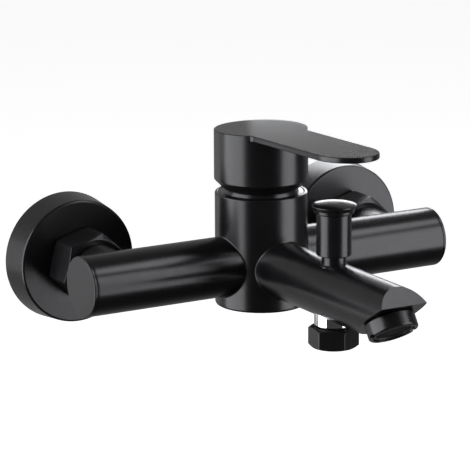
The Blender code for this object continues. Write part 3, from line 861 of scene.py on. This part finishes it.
def diverter():
    """The knob's cap and sleeve, and the guide that the sleeve slides over."""
    rod_hole = 2.9
    crown_r = 9.6
    crown_top = 41.7
    crown_drop = 1.15
    crown = []
    for i in range(13):
        r = crown_r * i / 12
        crown.append((r, crown_top - crown_drop * (r / crown_r) ** 2.2, 0))
    skin = Skin()
    lathe(skin, [*crown, (10.5, 40.2, 0.7), (9.5, 38.3, 0.9), (9.3, 36.8, 0.3), (rod_hole, 36.8, 0),
                 (rod_hole, 39.2, 0), (0, 39.2, 0)], DIVERTER_AT, segments=5)
    skin.build("pull_knob_cap", "diverter", "satin_black", ["diverter_knob"])

    sleeve_r = 8.1
    sleeve_bore = 6.2
    sleeve_top = 36.5
    skin = Skin()
    lathe(skin, [(sleeve_r, sleeve_top, 0.35), (sleeve_r, 16.9, 0.7), (sleeve_bore, 16.6, 0.2),
                 (sleeve_bore, 34.0, 0.1), (rod_hole, 34.0, 0), (rod_hole, sleeve_top, 0)], DIVERTER_AT)
    skin.build("pull_knob_sleeve", "diverter", "satin_black", ["diverter_sleeve"])

    guide_r = 5.7
    guide_top = 27.9
    guide_low = 7.6
    guide_bore = 3.0
    foot_r = 6.7
    groove_r = 4.2
    groove = 26.0
    skin = Skin()
    lathe(skin, [(guide_r, guide_top, 0.4), (guide_r, 12.8, 0.4), (foot_r, 12.1, 0.3),
                 (foot_r, guide_low, 0.3), (guide_bore, guide_low, 0), (guide_bore, groove, 0),
                 (groove_r, groove, 0), (groove_r, guide_top, 0.2)], DIVERTER_AT)
    skin.build("knob_guide", "mixer", "satin_black", ["diverter_gland"])


def coil():
    """The knob's return spring, which closes up as the knob is pulled."""
    wire = 0.4
    radius = 4.3
    turn_count = 4
    steps = 144
    low_end = -1.9
    high_end = 7.3
    length = high_end - low_end
    skin = Skin()
    rows = []
    for k in range(steps + 1):
        a = math.tau * turn_count * k / steps
        spoke = Vector((math.cos(a), math.sin(a), 0))
        height = low_end + wire + (length - 2 * wire) * k / steps
        centre = DIVERTER_AT + spoke * radius + Z * height
        rows.append([centre + (spoke * math.cos(b) + Z * math.sin(b)) * wire for b in turns(10)])
    skin.strip(rows)
    skin.lid(rows[0])
    skin.lid(rows[-1])
    piece = skin.build("diverter_coil", "mixer", "steel", ["diverter_spring"])
    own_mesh(piece)


def shower_connection():
    """The hex under the spout and the bright collar above it."""
    thread_r = 7.1
    socket_r = 7.6
    socket_end = -17.4
    skin = Skin()
    bores = [(thread_r, HEX_HIGH), (thread_r, socket_end), (socket_r, socket_end), (socket_r, HEX_LOW)]
    hex_skin(skin, 20.5, HEX_LOW, HEX_HIGH, bores, DIVERTER_AT, Z, twist=math.radians(23.5), rounding=0.5)
    skin.build("shower_hex", "mixer", "satin_black", ["shower_outlet"],
               soften=0.16, soften_angle=20, segments=2)

    collar_r = 9.0
    collar_bore = 7.5
    collar_top = -9.6
    collar_low = -16.3
    skin = Skin()
    lathe(skin, [(collar_r, collar_top, 0), (collar_r, -15.6, 0.3), (8.4, collar_low, 0.3),
                 (collar_bore, collar_low, 0.1), (collar_bore, collar_top, 0)], DIVERTER_AT)
    skin.build("bright_collar", "mixer", "chrome", ["outlet_collar"])


def aerator():
    """The threaded collar with its two key slots. Heights count outward from the spout's lower facet."""
    rim = 7.5
    rim_r = 11.58
    thread_r = 9.3
    thread_end = -5.0
    bore_r = 7.4
    ledge = 1.2
    slot_floor = 6.2
    slot_half = 1.5
    slot_r = 10.6
    profile = rounded([(thread_r, 0.3, 0), (11.3, 0.3, 0.2), (rim_r, 0.8, 0.2), (rim_r, rim, 1.0),
                       (9.6, rim, 0.35), (9.6, ledge, 0.2), (bore_r, ledge, 0.1), (bore_r, thread_end, 0),
                       (thread_r, thread_end, 0)])
    # Two columns of points stand close together at each side of a slot, for a steep wall
    edge = math.asin(slot_half / slot_r)
    outer_edge = edge + math.radians(0.15)
    angles = []
    for centre in (0, math.pi):
        angles += [centre + edge * s for s in (-0.99, -0.5, 0, 0.5, 0.99)]
        angles += [centre + outer_edge + (math.pi - 2 * outer_edge) * i / 42 for i in range(43)]
    directions = axes(FACET_NORMAL)
    rows = []
    for radius, height in profile:
        row = []
        for a in angles:
            in_slot = abs(math.sin(a)) * slot_r < slot_half
            level = min(height, slot_floor) if in_slot else height
            row.append(around(AERATOR_AT, directions, radius, a, level))
        rows.append(row)
    skin = Skin()
    skin.strip([*rows, rows[0]])
    skin.build("aerator_collar", "mixer", "satin_black", ["aerator_housing"])


def aerator_mesh():
    """The insert inside the collar, with two crossed layers of wires over its face."""
    rim_r = 9.25
    rim_low = 1.5
    rim_high = 6.8
    face_r = 8.1
    face = 4.5
    pitch = 1.45
    wire = 0.2
    reach = 8.2
    skin = Skin()
    lathe(skin, [(rim_r, rim_low, 0), (rim_r, rim_high, 0.2), (8.3, rim_high, 0.3), (face_r, face, 0),
                 (0, face, 0), (0, 2.0, 0), (face_r, rim_low, 0)], AERATOR_AT, FACET_NORMAL, steps=72)
    x, y, z = axes(FACET_NORMAL)
    for level, one, two in ((5.6, x, y), (5.95, y, x)):
        for k in range(-5, 6):
            offset = k * pitch
            half = math.sqrt(reach ** 2 - offset ** 2)
            rows = []
            for s in (-half, half):
                rows.append([AERATOR_AT + one * s + two * (offset + wire * math.cos(a))
                             + z * (level + wire * math.sin(a)) for a in turns(8)])
            skin.strip(rows)
            skin.lid(rows[0])
            skin.lid(rows[1])
    skin.build("aerator_mesh", "mixer", "dark_plastic", ["aerator_insert"])


# ---------------------------------------------------------------- stage

def softbox(name, direction, distance, width, height, radiance, centre=(0, -0.08, 0.01)):
    """A flat light that faces the mixer; its power follows from how bright its face is."""
    light = bpy.data.lights.new(name, "AREA")
    light.shape = "RECTANGLE"
    light.size = width
    light.size_y = height
    light.energy = radiance * math.pi * width * height
    light.color = (0.955, 0.96, 1.0)
    lamp = bpy.data.objects.new(name, light)
    aim = Vector(direction).normalized()
    lamp.matrix_world = (Matrix.Translation(Vector(centre) + aim * distance)
                         @ aim.to_track_quat("Z", "Y").to_matrix().to_4x4())
    bpy.context.scene.collection.objects.link(lamp)
    return lamp


def lights():
    softbox("left_panel", (-0.97, 0.20, 0.05), 1.1, 1.2, 1.5, 3.6)
    softbox("front_right_panel", (0.655, -0.75, 0.10), 1.2, 0.84, 1.5, 3.3)
    softbox("top_panel", (0.49, -0.32, 0.81), 1.0, 0.5, 0.3, 4.0)
    softbox("back_left_panel", (-0.50, 0.84, -0.05), 1.0, 0.7, 0.5, 0.42)
    # A small card close behind the spout: it lights the spout's far side and not the lever above it
    card = softbox("spout_card", (0.50, 0.87, 0.0), 0.18, 0.10, 0.032, 5.5, centre=(0.009, -0.135, 0.055))
    card.visible_camera = False


def surroundings():
    """A white backdrop for the camera, and for the surfaces a dim room that is lighter towards the wall."""
    world = bpy.data.worlds.new("studio")
    bpy.context.scene.world = world
    world.use_nodes = True
    tree = world.node_tree
    tree.nodes.clear()
    output = node(tree, "ShaderNodeOutputWorld")
    mix = node(tree, "ShaderNodeMixShader")
    seen = node(tree, "ShaderNodeBackground")
    seen.inputs["Color"].default_value = (1, 1, 1, 1)
    seen.inputs["Strength"].default_value = 1.05
    fill = node(tree, "ShaderNodeBackground")
    place = node(tree, "ShaderNodeTexCoord")
    split = node(tree, "ShaderNodeSeparateXYZ")
    tree.links.new(place.outputs["Generated"], split.inputs["Vector"])
    tree.links.new(spread(tree, split.outputs["Y"], 0.06, 0.44, -0.1, 0.9), fill.inputs["Strength"])
    rays = node(tree, "ShaderNodeLightPath")
    tree.links.new(rays.outputs["Is Camera Ray"], mix.inputs["Fac"])
    tree.links.new(fill.outputs["Background"], mix.inputs[1])
    tree.links.new(seen.outputs["Background"], mix.inputs[2])
    tree.links.new(mix.outputs["Shader"], output.inputs["Surface"])


def ground():
    """A pale floor a little below the mixer, left out of reflections and bounced light."""
    half = 9.0
    level = CAD_BOX[0][2] - 0.25
    corners = [(x, y, level) for x, y in ((-half, -half), (half, -half), (half, half), (-half, half))]
    mesh = bpy.data.meshes.new("floor")
    mesh.from_pydata(corners, [], [(0, 1, 2, 3)])
    floor = bpy.data.objects.new("floor", mesh)
    bpy.context.scene.collection.objects.link(floor)
    paper = bpy.data.materials.new("pale_paper")
    paper.use_nodes = True
    shader = paper.node_tree.nodes["Principled BSDF"]
    shader.inputs["Base Color"].default_value = (0.9, 0.9, 0.9, 1)
    shader.inputs["Roughness"].default_value = 0.9
    shader.inputs["Emission Color"].default_value = (1, 1, 1, 1)
    shader.inputs["Emission Strength"].default_value = 0.8
    mesh.materials.append(paper)
    floor.visible_glossy = False
    floor.visible_diffuse = False


def camera():
    """Seen from the left front and a little above."""
    azimuth = math.radians(30.13)
    elevation = math.radians(13.64)
    roll = math.radians(-0.22)
    place = (-0.70470, -1.24875, 0.34814)
    ahead = Vector((math.sin(azimuth) * math.cos(elevation), math.cos(azimuth) * math.cos(elevation),
                    -math.sin(elevation)))
    right = Vector((math.cos(azimuth), -math.sin(azimuth), 0))
    up = right.cross(ahead)
    turned = Matrix((right, up, -ahead)).transposed().to_4x4() @ Matrix.Rotation(roll, 4, "Z")
    data = bpy.data.cameras.new("camera")
    data.lens = 229.63
    data.sensor_width = 36
    data.clip_end = 50
    eye = bpy.data.objects.new("camera", data)
    eye.matrix_world = Matrix.Translation(place) @ turned
    bpy.context.scene.collection.objects.link(eye)
    bpy.context.scene.camera = eye


def carried_over():
    """The CAD nodes that stay in sight take the same finishes."""
    slots = {part["node"]: part["material_slot"] for part in frame["record"]["subparts"]}
    for name, obj in frame["nodes"].items():
        if obj.hide_render:
            continue
        for mark in obj.material_slots:
            mark.material = finish(slots[name])


casting()
end_plugs()
inlets()
handle()
rear_plug()
dome()
diverter()
coil()
shower_connection()
aerator()
aerator_mesh()
carried_over()
lights()
surroundings()
ground()
camera()
bpy.context.scene.view_settings.view_transform = "Standard"
